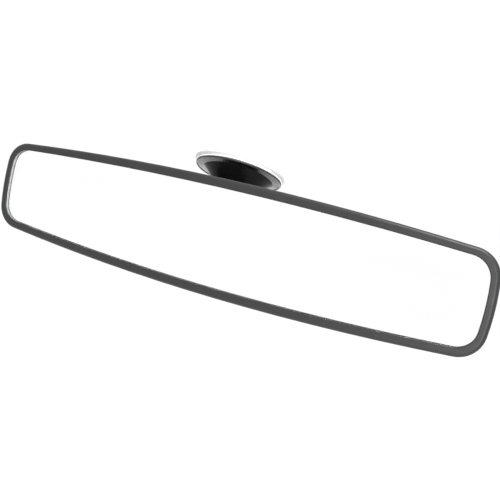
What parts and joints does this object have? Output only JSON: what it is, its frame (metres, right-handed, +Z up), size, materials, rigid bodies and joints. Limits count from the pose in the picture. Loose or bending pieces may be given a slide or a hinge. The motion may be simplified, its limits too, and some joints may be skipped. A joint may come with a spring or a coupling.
{
  "type": "interior rearview mirror",
  "caption": "Long slim interior rearview mirror in a rounded bezel, on a ball joint, a hinged arm and a lever-locked suction cup under a trumpet-shaped bell.",
  "frame": {"origin": "centre of the suction face, on the plane of its sealing lip", "axes": "+X along the mirror, to the right as the driver sees it; +Y away from the driver, towards the windscreen; +Z up. The suction face's normal leans from +Z by 17.7 degrees, as a windscreen over the mirror does."},
  "size_m": [0.3, 0.0787, 0.0789],
  "materials": {
    "bezel_plastic": "fine satin",
    "housing_plastic": "fine grained",
    "clear_glass": "polished",
    "silvering": "polished",
    "foam": "matte",
    "nylon": "smooth",
    "zinc_steel": "zinc plated",
    "ball_steel": "polished",
    "arm_plastic": "satin",
    "bell_plastic": "polished",
    "clear_vinyl": "clear, glossy"
  },
  "bodies": {
    "mount": {"suction_bell": "bell_plastic", "suction_cup": "clear_vinyl", "wear_washer": "zinc_steel", "return_spring": "zinc_steel", "hinge_bolt": "zinc_steel", "hinge_nut": "zinc_steel", "hinge_washers": "nylon"},
    "stud": {"pull_stud": "zinc_steel", "lever_pin": "zinc_steel"},
    "lever": {"lock_lever": "bell_plastic"},
    "arm": {"arm_link": "arm_plastic", "jam_nut": "zinc_steel", "ball_stud": "ball_steel"},
    "liner": {"ball_liner": "nylon"},
    "socket_cup": {"pressure_cup": "nylon"},
    "head": {"front_bezel": "bezel_plastic", "mirror_glass": "clear_glass", "mirror_backing": "silvering", "foam_strips": "foam", "rear_housing": "housing_plastic", "disc_spring": "zinc_steel", "socket_retainer": "zinc_steel", "retainer_screws": "zinc_steel"}
  },
  "joints": [
    {"name": "stud_pull", "type": "slide", "parent": "mount", "child": "stud", "axis": [-0.0494, 0.2998, 0.9527], "range_m": [0, 0.002], "deforming": ["suction_cup", "return_spring"]},
    {"name": "lever_turn", "type": "hinge", "parent": "stud", "child": "lever", "pos_m": [0.00081, -0.00493, -0.01567], "axis": [0.8197, 0.5571, -0.1328], "range_deg": [-60, 0]},
    {"name": "arm_tilt", "type": "hinge", "parent": "mount", "child": "arm", "pos_m": [0.00138, -0.00839, -0.02668], "axis": [0.8197, 0.5571, -0.1328], "range_deg": [-10, 35]},
    {"name": "ball_pitch", "type": "hinge", "parent": "arm", "child": "liner", "pos_m": [0.01679, -0.03239, -0.03224], "axis": [1, 0, 0], "range_deg": [-12, 30]},
    {"name": "ball_yaw", "type": "hinge", "parent": "liner", "child": "socket_cup", "pos_m": [0.01679, -0.03239, -0.03224], "axis": [0, 0, 1], "range_deg": [-5, 40]},
    {"name": "ball_roll", "type": "hinge", "parent": "socket_cup", "child": "head", "pos_m": [0.01679, -0.03239, -0.03224], "axis": [0, 1, 0], "range_deg": [-15, 15]}
  ],
  "couplings": [
    {"joint": "lever_turn", "follows": "stud_pull", "rad_per_m": -523.59}
  ]
}
